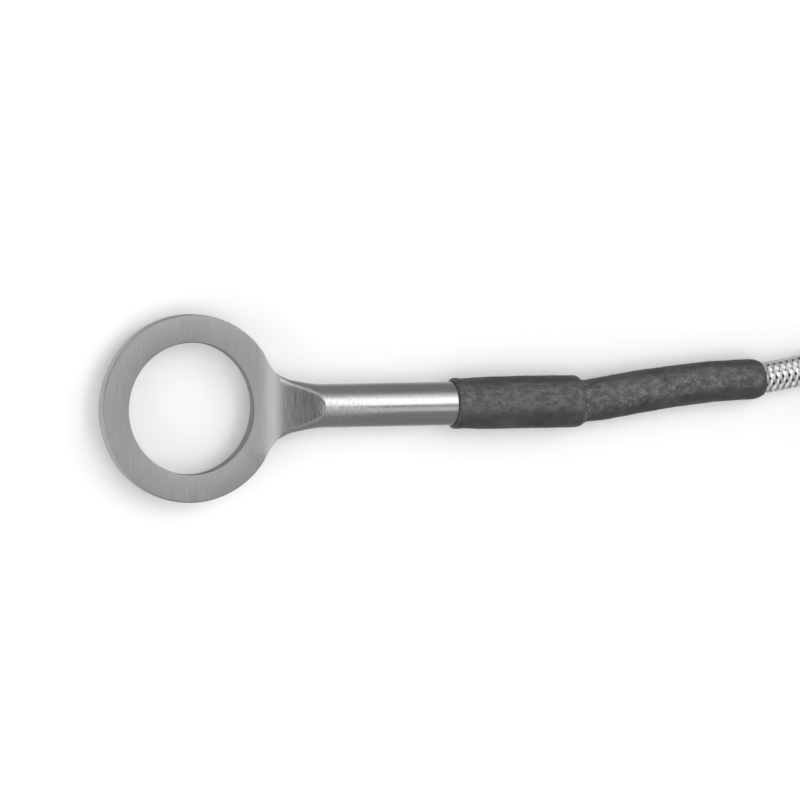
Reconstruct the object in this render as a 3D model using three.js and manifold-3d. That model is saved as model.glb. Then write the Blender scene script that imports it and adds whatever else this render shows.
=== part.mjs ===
// Ring thermocouple probe: a washer ring with a forged neck, a small sheath tube, a shrink sleeve and
// a braided cable that ends in two leads with fork terminals. Millimetres, +Z up.
// The probe's axis runs along X. Stations along it are counted from the centre of the ring.
// The origin is on the surface that the probe lies on, under the middle of the ring, tube and sleeve.
import * as THREE from 'three';
import Module from 'manifold-3d';
import { mergeVertices } from 'three/addons/utils/BufferGeometryUtils.js';

const wasm = await Module();
wasm.setup();

// ---------------------------------------------------------------- driving dimensions

const RING = { inner: 7.2, outer: 10.25, thickness: 1.5, edge: 0.15 };   // for a 14 mm thread
const SCOOP_START = 8.3;         // station where the neck starts to grow thicker
const SCOOP_RADIUS = 14;         // the hollow arc that the neck is ground to, above and below
const SHANK_END = 17.9;          // station of the weld between shank and tube
const SPIGOT = { radius: 1.72, end: 21.2 };       // the shank's inner step, inside the tube
const JUNCTION_BORE = { radius: 1.2, start: 13.1 };
const TUBE = { radius: 2.38, bore: 1.88, end: 44.2 };                   // 3/16 inch tube

const JUNCTION = { radius: 0.55, station: 13.95 };
const THERMOELEMENT = { radius: 0.2, spread: 0.45, start: 14.8, end: 37.7 };
const INSULATOR = { radius: 0.98, bore: 0.32, start: 16.4, end: 34 };
const POTTING = { radius: 1.78, start: 34.3, end: 37.4 };

const SLEEVE_START = 30.3;
const SLEEVE_END = 66.5;
const SLEEVE_INSIDE = { overTube: 2.46, overCable: 1.82, stepStart: 44.4, stepEnd: 45.7 };
const AXIS_HEIGHT = 2.87;        // the sleeve's largest radius, so the sleeve lies on the surface

const CABLE_DIAMETER = 3.4;
const CABLE_RADIUS = CABLE_DIAMETER / 2;
const CABLE_START = 38;          // where the cable begins, inside the tube
const GAP = 0.3;                 // between solids that meet face to face

const LAYERS = 3;                // of cable in the hank
const HANK_CENTRE = { left: 95, right: 142.6, y: 1 };      // centres of its two end loops
const HANK_TOP = LAYERS * CABLE_DIAMETER;
const WAIST_STATION = (HANK_CENTRE.left + HANK_CENTRE.right) / 2;
const TIE = { width: 3.6, thickness: 0.8, head: [4.6, 4.2, 5.2] };

const TOP_HEIGHT = 12.4;         // axis height of what lies on top of the hank
const TAIL_SLEEVE = { start: 134, end: 143, wide: 2.15, narrow: 1.95, inside: 1.82 };
const LEAD_RADIUS = 0.8;
const TERMINAL = {
  station: 141.6, side: 12.9, turn: 190,             // where the barrel starts, and where it points
  barrel: 1.2, barrelLength: 4.4,
  tongue: 0.8, tongueDrop: 1.7, width: 6.2, slot: 3.7, slotStart: 7.2, length: 12.6,
};
const TERMINAL_SLEEVE = { outside: 1.95, inside: 1.5, length: 6.4 };

// ---------------------------------------------------------------- hand-set outlines and routes

// Neck outline: station, half width, and half width of the flat before the rounded edge.
const NECK = [
  [8.0, 6.38, 6.3], [8.5, 5.95, 5.85], [9.2, 4.7, 4.5], [10.15, 3.6, 3.25], [11.0, 3.24, 2.5],
  [12.3, 2.78, 1.6], [13.9, 2.5, 1.0], [14.8, 2.41, 0.4], [15.6, 2.38, 0.0], [SHANK_END, 2.38, 0.0],
];

// Sleeve outside: station and radius. It steps down where the tube ends inside it.
const SLEEVE_OUTSIDE = [
  [SLEEVE_START, 2.68], [30.8, 2.77], [33.5, 2.85], [36, AXIS_HEIGHT], [39, AXIS_HEIGHT],
  [42, AXIS_HEIGHT], [44.1, 2.82], [44.8, 2.62], [45.4, 2.38], [46.2, 2.31], [47.4, 2.34],
  [52, 2.34], [56, 2.27], [60, 2.25], [63, 2.21], [65.1, 2.17], [65.9, 2.06], [SLEEVE_END, 1.93],
];

// The cable's route from inside the tube to the hank: station, sideways, height.
const ENTRY_ROUTE = [
  [CABLE_START, 0, AXIS_HEIGHT], [42, 0, AXIS_HEIGHT], [45, 0, 2.86], [47.4, 0.2, 2.76],
  [49.7, 0.52, 2.6], [52, 0.86, 2.46], [54.3, 1.16, 2.37], [56.6, 1.42, 2.31], [58.9, 1.66, 2.28],
  [61.2, 1.84, 2.25], [63.5, 1.94, 2.22], [66.2, 2.05, 2.17],
];
const RUN_ROUTE = [
  [66.5, 2.08, 2.16], [68.1, 2.3, 2.06], [70.3, 2.66, 1.9], [73, 3.3, 1.77], [76, 4.6, 1.72],
  [78.4, 6.05, 1.72],
];
const TAIL_ROUTE = [[131.2, 1.2, 12.2], [132.4, 1.05, 12.33], [133.7, 1, TOP_HEIGHT]];
// One lead, from the tail sleeve back over the hank's end loop: station, distance from the hank's
// centre line, height.
const LEAD_ROUTE = [
  [143.3, 0.95, TOP_HEIGHT], [146, 1.1, 12.2], [149.5, 1.7, 11.9], [153, 3.8, 11.5],
  [155, 7.2, 11.3], [154.2, 10.4, 11.4], [152, 12.6, 11.8], [149.3, 13.8, 12.2],
];

// ---------------------------------------------------------------- geometry helpers

function solid(geometry) {
  const bare = geometry.clone();
  bare.deleteAttribute('normal');
  bare.deleteAttribute('uv');
  const merged = mergeVertices(bare, 1e-4);
  return new wasm.Manifold(new wasm.Mesh({
    numProp: 3,
    vertProperties: Float32Array.from(merged.attributes.position.array),
    triVerts: Uint32Array.from(merged.index.array),
  }));
}

function geometryOf(manifold) {
  const mesh = manifold.getMesh();
  const geometry = new THREE.BufferGeometry();
  geometry.setAttribute('position', new THREE.BufferAttribute(mesh.vertProperties, 3));
  geometry.setIndex(new THREE.BufferAttribute(mesh.triVerts, 1));
  return geometry;
}

// Joins rows of points, each row running counter-clockwise about the way the rows advance.
// A closed loft's last row joins its first; an open one gets a flat cap at each end.
function loft(rows, closed = false) {
  const sides = rows[0].length;
  const positions = rows.flat().flatMap((point) => point.toArray());
  const index = [];
  const joins = closed ? rows.length : rows.length - 1;
  for (let row = 0; row < joins; row += 1) {
    const next = (row + 1) % rows.length;
    for (let side = 0; side < sides; side += 1) {
      const other = (side + 1) % sides;
      index.push(row * sides + side, row * sides + other, next * sides + other);
      index.push(row * sides + side, next * sides + other, next * sides + side);
    }
  }
  if (!closed) {
    addCap(rows[0], 0, true);
    addCap(rows.at(-1), (rows.length - 1) * sides, false);
  }
  const geometry = new THREE.BufferGeometry();
  geometry.setAttribute('position', new THREE.Float32BufferAttribute(positions, 3));
  geometry.setIndex(index);
  return geometry;

  function addCap(row, first, facesBack) {
    const middle = row.reduce((sum, point) => sum.add(point), new THREE.Vector3()).divideScalar(sides);
    const centre = positions.length / 3;
    positions.push(...middle.toArray());
    for (let side = 0; side < sides; side += 1) {
      const other = (side + 1) % sides;
      index.push(centre, first + (facesBack ? other : side), first + (facesBack ? side : other));
    }
  }
}

// A circle of points square to a curve that runs roughly along X.
function circleOn(point, tangent, radius, sides) {
  const side = new THREE.Vector3(0, 0, 1).cross(tangent).normalize();
  const up = tangent.clone().cross(side);
  return Array.from({ length: sides }, (_, i) => {
    const angle = (2 * Math.PI * i) / sides;
    return point.clone()
      .addScaledVector(side, radius * Math.cos(angle))
      .addScaledVector(up, radius * Math.sin(angle));
  });
}

function curveThrough(route) {
  return new THREE.CatmullRomCurve3(route.map((place) => new THREE.Vector3(...place)));
}

function polygon(radius, sides) {
  return new THREE.Shape(Array.from({ length: sides }, (_, i) => {
    const angle = (2 * Math.PI * (i + 0.5)) / sides;
    return new THREE.Vector2(radius * Math.cos(angle), radius * Math.sin(angle));
  }));
}

function rodAlong(route, radius, sides, steps) {
  return new THREE.ExtrudeGeometry(polygon(radius, sides), {
    extrudePath: curveThrough(route), steps, bevelEnabled: false,
  });
}

// A turned solid about the probe's axis, from a profile of [station, radius] that closes on itself
// or starts and ends on the axis.
function turned(profile, sides) {
  const points = profile.map(([station, radius]) => new THREE.Vector2(radius, station));
  return new THREE.LatheGeometry(points, sides).rotateZ(-Math.PI / 2);
}

function hollow(start, end, outside, inside, sides) {
  return turned([[start, inside], [start, outside], [end, outside], [end, inside], [start, inside]], sides);
}

function rod(start, end, radius, sides) {
  return turned([[start, 0], [start, radius], [end, radius], [end, 0]], sides);
}

// ---------------------------------------------------------------- the metal end

function neckHalfThickness(station) {
  const run = Math.max(0, station - SCOOP_START);
  if (run >= SCOOP_RADIUS) return TUBE.radius;
  const rise = SCOOP_RADIUS - Math.sqrt(SCOOP_RADIUS ** 2 - run ** 2);
  return Math.min(TUBE.radius, RING.thickness / 2 + rise);
}

// A flat-topped section with elliptical edges. It becomes a circle where the flat has run out.
function neckSection(station, halfWidth, flat) {
  const sides = 32;
  const halfThickness = neckHalfThickness(station);
  return Array.from({ length: sides }, (_, i) => {
    const angle = (2 * Math.PI * (i + 0.5)) / sides;
    const y = Math.sign(Math.cos(angle)) * flat + (halfWidth - flat) * Math.cos(angle);
    return new THREE.Vector3(station, y, halfThickness * Math.sin(angle));
  });
}

function makeRingLug() {
  const half = RING.thickness / 2;
  const { inner, outer, edge } = RING;
  const profile = [
    [inner, -half + edge], [inner + edge, -half], [outer - edge, -half], [outer, -half + edge],
    [outer, half - edge], [outer - edge, half], [inner + edge, half], [inner, half - edge],
    [inner, -half + edge],
  ].map(([radius, height]) => new THREE.Vector2(radius, height));
  const ring = new THREE.LatheGeometry(profile, 72).rotateX(Math.PI / 2);

  const outline = new THREE.CatmullRomCurve3(NECK.map((row) => new THREE.Vector3(...row)));
  const stations = 22;
  const rows = outline.getPoints(stations)
    .map(({ x, y, z }) => neckSection(x, y, Math.max(0, Math.min(z, y - 0.05))));
  const spigot = rod(SHANK_END - 1, SPIGOT.end, SPIGOT.radius, 32);
  const bore = rod(JUNCTION_BORE.start, SPIGOT.end + 1, JUNCTION_BORE.radius, 24);
  return geometryOf(solid(ring).add(solid(loft(rows))).add(solid(spigot)).subtract(solid(bore)));
}

function makeSheathTube() {
  return hollow(SHANK_END + 0.05, TUBE.end, TUBE.radius, TUBE.bore, 40);
}

function makeThermoelement(side) {
  const { radius, spread, start, end } = THERMOELEMENT;
  return rod(start, end, radius, 8).translate(0, side * spread, 0);
}

function makeInsulator() {
  const body = solid(rod(INSULATOR.start, INSULATOR.end, INSULATOR.radius, 24));
  return geometryOf(withWireBores(body, INSULATOR.start, INSULATOR.end));
}

function makePottingPlug() {
  const body = solid(rod(POTTING.start, POTTING.end, POTTING.radius, 24));
  return geometryOf(withWireBores(body, POTTING.start, POTTING.end));
}

function withWireBores(body, start, end) {
  return [-1, 1].reduce((left, side) => {
    const bore = rod(start - 1, end + 1, INSULATOR.bore, 12).translate(0, side * THERMOELEMENT.spread, 0);
    return left.subtract(solid(bore));
  }, body);
}

// ---------------------------------------------------------------- sleeve and cable

// The sleeve follows the tube's axis and then the cable.
function makeShrinkSleeve() {
  const sides = 28;
  const line = curveThrough([[SLEEVE_START - 2, 0, AXIS_HEIGHT], ...ENTRY_ROUTE, ...RUN_ROUTE]);
  const samples = line.getSpacedPoints(600);
  const { overTube, overCable, stepStart, stepEnd } = SLEEVE_INSIDE;
  const inside = [[SLEEVE_START, overTube], [stepStart, overTube], [stepEnd, overCable],
    ...[48, 52, 56, 60, 63, SLEEVE_END].map((station) => [station, overCable])];
  const rowAt = (station, radius) => {
    const i = Math.max(1, samples.findIndex((point) => point.x >= station));
    const tangent = samples[i].clone().sub(samples[i - 1]).normalize();
    const blend = (station - samples[i - 1].x) / (samples[i].x - samples[i - 1].x);
    return circleOn(samples[i - 1].clone().lerp(samples[i], blend), tangent, radius, sides);
  };
  const outer = SLEEVE_OUTSIDE.map(([station, radius]) => rowAt(station, radius));
  const inner = inside.map(([station, radius]) => rowAt(station, radius)).reverse();
  return loft([...outer, ...inner], true);
}

// Outline of the hank: two round loops drawn together at a waist.
function hankOutline() {
  const loop = 4.5 * CABLE_DIAMETER;
  const waist = 2 * CABLE_DIAMETER;
  const neck = 4 * CABLE_DIAMETER;                       // radius of the hollow beside the waist
  const lean = Math.asin((waist + neck) / (loop + neck));
  const reach = (loop + neck) * Math.cos(lean);
  const { left, right } = HANK_CENTRE;
  const shape = new THREE.Shape();
  shape.absarc(right, 0, loop, lean - Math.PI, Math.PI - lean, false);
  shape.absarc(right - reach, waist + neck, neck, -lean, -Math.PI / 2, true);
  shape.absarc(left + reach, waist + neck, neck, -Math.PI / 2, lean - Math.PI, true);
  shape.absarc(left, 0, loop, lean, 2 * Math.PI - lean, false);
  shape.absarc(left + reach, -waist - neck, neck, Math.PI - lean, Math.PI / 2, true);
  shape.absarc(right - reach, -waist - neck, neck, Math.PI / 2, lean, true);
  return shape;
}

function makeCableHank() {
  const round = 1;                                       // the edge's bevel
  const body = new THREE.ExtrudeGeometry(hankOutline(), {
    depth: HANK_TOP - 2 * round, curveSegments: 10, bevelEnabled: true,
    bevelSize: round, bevelOffset: -round, bevelThickness: round, bevelSegments: 2,
  }).translate(0, 0, round);
  const grooveTop = TIE.thickness + GAP;
  const groove = new THREE.BoxGeometry(TIE.width + 2 * GAP, 40, 2 * grooveTop).translate(WAIST_STATION, 0, 0);
  return geometryOf(solid(body).subtract(solid(groove))).translate(0, HANK_CENTRE.y, 0);
}

// A flat nylon band drawn round the waist, with its square head on one side.
function makeHankTie() {
  const inside = { y: 2 * CABLE_DIAMETER + GAP, low: TIE.thickness, high: HANK_TOP + TIE.thickness + GAP };
  const band = roundedBox(inside.y + TIE.thickness, 0, inside.high + TIE.thickness, 2);
  band.holes.push(roundedBox(inside.y, inside.low, inside.high, 0.6));
  const [length, width, height] = TIE.head;
  const strap = new THREE.ExtrudeGeometry(band, { depth: TIE.width, curveSegments: 4, bevelEnabled: false });
  // The band's outline is drawn in Y and Z, so the extrusion is turned to run along X.
  strap.rotateY(Math.PI / 2).rotateX(Math.PI / 2).translate(WAIST_STATION - TIE.width / 2, 0, 0);
  const head = new THREE.BoxGeometry(length, width, height)
    .translate(WAIST_STATION, inside.y + width / 2 + 0.2, (inside.low + inside.high) / 2);
  return geometryOf(solid(strap).add(solid(head))).translate(0, HANK_CENTRE.y, 0);
}

function roundedBox(halfWidth, low, high, corner) {
  const shape = new THREE.Shape();
  shape.absarc(halfWidth - corner, low + corner, corner, -Math.PI / 2, 0, false);
  shape.absarc(halfWidth - corner, high - corner, corner, 0, Math.PI / 2, false);
  shape.absarc(corner - halfWidth, high - corner, corner, Math.PI / 2, Math.PI, false);
  shape.absarc(corner - halfWidth, low + corner, corner, Math.PI, 1.5 * Math.PI, false);
  return shape;
}

function makeTailSleeve() {
  const { start, end, wide, narrow, inside } = TAIL_SLEEVE;
  const bridge = 1.4;                                    // the closed web that the leads come out of
  return turned([
    [start, inside], [start, wide], [end - 2.5, wide], [end, narrow], [end, 0],
    [end - bridge, 0], [end - bridge, inside], [start, inside],
  ], 24).translate(0, HANK_CENTRE.y, TOP_HEIGHT);
}

// ---------------------------------------------------------------- leads and terminals

function makeLead(side) {
  const { station, side: away } = TERMINAL;
  const back = THREE.MathUtils.degToRad(TERMINAL.turn);
  const straight = [4.6, 2.6, GAP].map((distance) => [
    station - distance * Math.cos(back), away - distance * Math.sin(back), TOP_HEIGHT,
  ]);
  const route = [...LEAD_ROUTE, ...straight]
    .map(([x, y, z]) => [x, HANK_CENTRE.y + side * y, z]);
  return rodAlong(route, LEAD_RADIUS, 8, 22);
}

function forkOutline() {
  const { width, slot, slotStart, length, barrelLength } = TERMINAL;
  const half = width / 2;
  const shape = new THREE.Shape();
  shape.moveTo(barrelLength - 1.6, -1.1);
  shape.lineTo(barrelLength, -1.1);
  shape.lineTo(barrelLength + 1.4, -half + 0.6);
  shape.absarc(barrelLength + 2.4, -half + 0.8, 0.8, 1.1 * Math.PI, 1.5 * Math.PI, false);
  shape.lineTo(length - 1, -half);
  shape.lineTo(length, -slot / 2 - 0.45);
  shape.lineTo(length - 0.3, -slot / 2);
  shape.absarc(slotStart + slot / 2, 0, slot / 2, 1.5 * Math.PI, 0.5 * Math.PI, true);
  shape.lineTo(length - 0.3, slot / 2);
  shape.lineTo(length, slot / 2 + 0.45);
  shape.lineTo(length - 1, half);
  shape.absarc(barrelLength + 2.4, half - 0.8, 0.8, 0.5 * Math.PI, 0.9 * Math.PI, false);
  shape.lineTo(barrelLength + 1.4, half - 0.6);
  shape.lineTo(barrelLength, 1.1);
  shape.lineTo(barrelLength - 1.6, 1.1);
  return shape;
}

function makeForkTerminal() {
  const { tongue, tongueDrop, barrel, barrelLength } = TERMINAL;
  const sheet = { depth: tongue, curveSegments: 6, bevelEnabled: false };
  const plate = new THREE.ExtrudeGeometry(forkOutline(), sheet).translate(0, 0, -tongueDrop);
  return geometryOf(solid(plate).add(solid(rod(0, barrelLength, barrel, 20))));
}

function makeTerminalSleeve() {
  const { outside, inside, length } = TERMINAL_SLEEVE;
  const reach = TERMINAL.barrelLength - 1.9;             // how far the sleeve covers the barrel
  return hollow(reach - length, reach, outside, inside, 20);
}

// ---------------------------------------------------------------- materials and assembly

const steel = { color: 0x9a9a9a, roughness: 0.32, metalness: 1 };
const FINISH = {
  ringSteel: steel,
  tubeSteel: { ...steel, roughness: 0.2 },
  couple: { color: 0x8d8d88, roughness: 0.4, metalness: 1 },
  ceramic: { color: 0xe8e4da, roughness: 0.6, metalness: 0 },
  cement: { color: 0xc9c4b6, roughness: 0.9, metalness: 0 },
  sleeve: { color: 0x47474a, roughness: 0.75, metalness: 0 },
  braid: { color: 0xb4b4b4, roughness: 0.35, metalness: 1 },
  tie: { color: 0xe4e2dc, roughness: 0.45, metalness: 0 },
  red: { color: 0xa02a22, roughness: 0.5, metalness: 0 },
  blue: { color: 0x2b4a80, roughness: 0.5, metalness: 0 },
  tinned: { color: 0xb9bab8, roughness: 0.3, metalness: 1 },
};

function piece(name, geometry, finish) {
  const mesh = new THREE.Mesh(geometry, new THREE.MeshStandardMaterial(FINISH[finish]));
  mesh.name = name;
  return mesh;
}

function onAxis(...meshes) {
  const group = new THREE.Group();
  group.position.z = AXIS_HEIGHT;
  group.add(...meshes);
  return group;
}

const junction = new THREE.SphereGeometry(JUNCTION.radius, 16, 10).translate(JUNCTION.station, 0, 0);
const probe = new THREE.Group();
probe.add(
  onAxis(
    piece('ring_lug', makeRingLug(), 'ringSteel'),
    piece('sheath_tube', makeSheathTube(), 'tubeSteel'),
    piece('measuring_junction', junction, 'couple'),
    piece('thermoelement_positive', makeThermoelement(1), 'couple'),
    piece('thermoelement_negative', makeThermoelement(-1), 'couple'),
    piece('ceramic_insulator', makeInsulator(), 'ceramic'),
    piece('potting_plug', makePottingPlug(), 'cement'),
  ),
  piece('shrink_sleeve', makeShrinkSleeve(), 'sleeve'),
  piece('cable_entry', rodAlong(ENTRY_ROUTE, CABLE_RADIUS, 8, 10), 'braid'),
);

const lead = new THREE.Group();
lead.add(
  piece('cable_run', rodAlong(RUN_ROUTE, CABLE_RADIUS, 8, 5), 'braid'),
  piece('cable_hank', makeCableHank(), 'braid'),
  piece('hank_tie', makeHankTie(), 'tie'),
  piece('cable_tail', rodAlong(TAIL_ROUTE, CABLE_RADIUS, 8, 3), 'braid'),
  piece('tail_sleeve', makeTailSleeve(), 'sleeve'),
);

for (const [sign, side, colour] of [['positive', 1, 'red'], ['negative', -1, 'blue']]) {
  const end = new THREE.Group();
  end.position.set(TERMINAL.station, HANK_CENTRE.y + side * TERMINAL.side, TOP_HEIGHT);
  end.rotation.z = side * THREE.MathUtils.degToRad(TERMINAL.turn);
  end.add(
    piece(`terminal_sleeve_${sign}`, makeTerminalSleeve(), colour),
    piece(`fork_terminal_${sign}`, makeForkTerminal(), 'tinned'),
  );
  lead.add(piece(`lead_${sign}`, makeLead(side), colour), end);
}

// The origin goes under the middle of the probe, without its free cable.
const middle = new THREE.Box3().setFromObject(probe).getCenter(new THREE.Vector3());
const assembly = new THREE.Group();
assembly.add(probe, lead);
assembly.position.set(-middle.x, -middle.y, 0);

export default assembly;
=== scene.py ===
"""Looks of the ring thermocouple probe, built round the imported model.

Lengths are millimetres until mesh_piece() turns them into metres. Stations run along the probe's axis
and are counted from the centre of the ring, as in the model.
"""
import math

import bmesh
import bpy
import numpy as np
from mathutils import Matrix, Vector, noise


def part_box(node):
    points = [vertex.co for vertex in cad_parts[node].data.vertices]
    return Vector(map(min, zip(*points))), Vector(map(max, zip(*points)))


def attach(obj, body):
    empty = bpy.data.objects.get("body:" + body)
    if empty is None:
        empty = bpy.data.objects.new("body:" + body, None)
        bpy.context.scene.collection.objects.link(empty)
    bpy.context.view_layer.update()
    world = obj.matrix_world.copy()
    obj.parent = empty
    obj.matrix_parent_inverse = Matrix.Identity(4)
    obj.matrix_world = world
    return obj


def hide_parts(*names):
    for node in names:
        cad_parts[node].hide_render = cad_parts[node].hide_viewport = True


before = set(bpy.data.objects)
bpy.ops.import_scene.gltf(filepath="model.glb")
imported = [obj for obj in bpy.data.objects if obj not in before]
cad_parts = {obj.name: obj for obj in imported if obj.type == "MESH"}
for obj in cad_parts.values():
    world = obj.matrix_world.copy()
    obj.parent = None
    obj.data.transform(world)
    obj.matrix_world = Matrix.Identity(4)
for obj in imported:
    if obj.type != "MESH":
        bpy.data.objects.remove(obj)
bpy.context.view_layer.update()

MM = 0.001
ROOT = "root"

# ---- driving dimensions

RING_INNER = 7.2
RING_OUTER = 10.25
PLATE_HALF = 0.75  # half the ring's thickness
EDGE_ROUND = 0.13  # rounding of the ring's edges
TUBE_RADIUS = 2.38
TUBE_BORE = 1.88  # radius inside the tube
NECK_START = 8.3  # station where the neck's sections start
SHANK_END = 17.9  # station where the tube is welded on
SPIGOT_RADIUS = 1.72  # what the shank has inside the tube
SPIGOT_END = 21.2
SPIGOT_BORE = 1.2
BORE_BOTTOM = 13.1
TUBE_END = 44.2
SLEEVE_START = 30.3
SLEEVE_STEP = 45.4  # where the sleeve has come down onto the cable
SLEEVE_END = 66.5
CABLE = 3.4  # diameter of the braided cable
CORE_RADIUS = CABLE / 2 - 0.25  # its jacket, under the braid
LEAD = 1.6  # diameter of an insulated lead
HANK_LEFT, HANK_RIGHT, HANK_Y = 95.0, 142.6, 1.0  # middles of the hank's loops
TIE_WIDTH = 3.6
TIE_THICKNESS = 0.8
TOP_HEIGHT = 12.4  # axis height of what lies on the hank
TAIL_START, TAIL_END = 134.0, 143.0  # the tail sleeve's ends

ring_low, ring_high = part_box("ring_lug")
RING_X = ring_low[0] / MM + RING_OUTER  # the ring's centre in the frame
AXIS_Z = (ring_low[2] + ring_high[2]) / 2 / MM

# ---- camera

VIEW_WIDTH = 87.0  # what the camera takes in across, at the ring
LENS = 1200.0
SENSOR = 36.0
CLIP_METRES = 200
VIEW_FROM = Vector((-0.3334, 0.0601, 0.9409)).normalized()
AXIS_RISE = math.radians(1.09)  # how much the probe's axis climbs to the right
RING_IN_VIEW = (-22.88, -0.92)  # the ring's centre from the middle of the view


def add_object(name, data):
    thing = bpy.data.objects.new(name, data)
    bpy.context.scene.collection.objects.link(thing)
    return thing


def make_camera():
    """A long lens at the probe, from above and a little behind the ring."""
    across = (Vector((1, 0, 0)) - VIEW_FROM * VIEW_FROM.x).normalized()
    right = Matrix.Rotation(-AXIS_RISE, 3, VIEW_FROM) @ across
    up = VIEW_FROM.cross(right)
    ring = Vector((RING_X, 0, AXIS_Z))
    target = ring - right * RING_IN_VIEW[0] - up * RING_IN_VIEW[1]
    distance = VIEW_WIDTH * LENS / SENSOR
    data = bpy.data.cameras.new("camera")
    data.lens = LENS
    data.sensor_width = SENSOR
    data.clip_end = CLIP_METRES
    camera = add_object("camera", data)
    turn = Matrix((right, up, VIEW_FROM)).transposed().to_4x4()
    camera.matrix_world = Matrix.Translation((target + VIEW_FROM * distance) * MM) @ turn
    bpy.context.scene.camera = camera


make_camera()

# ---- mesh helpers


def mesh_piece(name, points, faces, material, sharp=None, merge=None, second=None):
    """A piece from points in millimetres on the probe's stations, riding on the one body.

    second is another material, and a test of a face's number that says where it goes.
    """
    mesh = bpy.data.meshes.new(name)
    placed = (np.asarray(points, dtype=float) + (RING_X, 0, 0)) * MM
    mesh.from_pydata(placed.tolist(), [], faces)
    mesh.materials.append(material)
    if second:
        mesh.materials.append(second[0])
        for polygon in mesh.polygons:
            polygon.material_index = int(second[1](polygon.index))
    if merge:
        work = bmesh.new()
        work.from_mesh(mesh)
        bmesh.ops.remove_doubles(work, verts=work.verts, dist=merge * MM)
        bmesh.ops.recalc_face_normals(work, faces=work.faces)
        work.to_mesh(mesh)
        work.free()
    mesh.shade_smooth()
    if sharp is not None:
        mesh.set_sharp_from_angle(angle=math.radians(sharp))
    piece = add_object(name, mesh)
    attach(piece, ROOT)
    return piece


def grid_faces(rows, columns, first=0, wrap_rows=False, wrap_columns=True):
    """Quads between rows of points that each run round the shape."""
    row = np.arange(rows if wrap_rows else rows - 1)
    column = np.arange(columns if wrap_columns else columns - 1)
    r, c = np.meshgrid(row, column, indexing="ij")
    r_next, c_next = (r + 1) % rows, (c + 1) % columns
    quads = np.stack([r * columns + c, r * columns + c_next,
                      r_next * columns + c_next, r_next * columns + c], axis=-1)
    return (quads.reshape(-1, 4) + first).tolist()


def rod_faces(rows, columns, first=0):
    """Quads between rows of points, and a flat face at each end."""
    last = first + (rows - 1) * columns
    return [*grid_faces(rows, columns, first=first), list(range(first, first + columns))[::-1],
            list(range(last, last + columns))]


def loft(name, rows, material, closed=False, **options):
    """A solid through rows of points. Where it isn't closed, it has a flat face at each end."""
    rows = np.asarray(rows, dtype=float)
    count, columns = rows.shape[:2]
    faces = grid_faces(count, columns, wrap_rows=True) if closed else rod_faces(count, columns)
    return mesh_piece(name, rows.reshape(-1, 3), faces, material, **options)


def smooth_step(low, high, value):
    t = np.clip((value - low) / (high - low), 0, 1)
    return t * t * (3 - 2 * t)


def smooth_table(table, places):
    """Values at some places, on a cubic curve through a short given table."""
    x, y = np.asarray(table, dtype=float).T
    rise = np.diff(y) / np.diff(x)
    slope = np.zeros_like(y)
    same_way = rise[1:] * rise[:-1] > 0
    mean = 2 * rise[1:] * rise[:-1] / np.where(same_way, rise[1:] + rise[:-1], 1)
    slope[1:-1] = np.where(same_way, mean, 0)
    slope[0], slope[-1] = rise[0], rise[-1]
    places = np.clip(places, x[0], x[-1])
    i = np.clip(np.searchsorted(x, places, side="right") - 1, 0, len(x) - 2)
    width = x[i + 1] - x[i]
    t = (places - x[i]) / width
    return ((2 * t**3 - 3 * t**2 + 1) * y[i] + (t**3 - 2 * t**2 + t) * width * slope[i]
            + (-2 * t**3 + 3 * t**2) * y[i + 1] + (t**3 - t**2) * width * slope[i + 1])


# ---- paths


def catmull(points, per_span=24):
    """Points on a smooth curve through the given ones."""
    p = np.asarray(points, dtype=float)
    p = np.vstack([2 * p[0] - p[1], p, 2 * p[-1] - p[-2]])
    t = np.linspace(0, 1, per_span, endpoint=False)[:, None]
    spans = [0.5 * (2 * b + (c - a) * t + (2 * a - 5 * b + 4 * c - d) * t**2
                    + (3 * b - a - 3 * c + d) * t**3)
             for a, b, c, d in zip(p, p[1:], p[2:], p[3:])]
    return np.vstack(spans + [p[-2:-1]])


def unit(ways):
    return ways / np.linalg.norm(ways, axis=1)[:, None]


def run_along(points):
    """How far along its line each point is."""
    return np.concatenate([[0], np.cumsum(np.linalg.norm(np.diff(points, axis=0), axis=1))])


def points_at(places, run, points):
    """A line's points, or whatever else it has at each point, at some places on it."""
    return np.stack([np.interp(places, run, column) for column in points.T], axis=-1)


def evenly(points, step):
    """The same line with its points one step apart."""
    points = np.asarray(points, dtype=float)
    run = run_along(points)
    places = np.linspace(0, run[-1], max(2, int(round(run[-1] / step)) + 1))
    return points_at(places, run, points), places


def line_frames(line):
    """Tangent, side and up at each point, carried along so that nothing twists."""
    tangent = unit(np.gradient(line, axis=0))
    side = np.zeros_like(line)
    side[0] = np.cross((0, 0, 1), tangent[0])
    for i in range(len(line)):
        carried = side[i - 1] if i else side[0]
        carried = carried - tangent[i] * carried.dot(tangent[i])
        side[i] = carried / np.linalg.norm(carried)
    return tangent, side, np.cross(tangent, side)


def angles_round(sides):
    return 2 * np.pi * np.arange(sides) / sides


def tube_rows(line, radius, sides):
    """Rows of points round a line."""
    _, side, up = line_frames(line)
    angle = angles_round(sides)
    out = np.cos(angle)[None, :, None] * side[:, None] + np.sin(angle)[None, :, None] * up[:, None]
    return line[:, None] + radius * out


def turned_rows(profile, sides, centre=(0.0, 0.0)):
    """Rows of points from a profile of (station, radius), turned about an axis along X."""
    angle = angles_round(sides)
    return np.array([[(x, centre[0] + r * np.cos(a), centre[1] + r * np.sin(a)) for a in angle]
                     for x, r in profile])


# ---- material helpers


def grey(level):
    return (level, level, level, 1)


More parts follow.
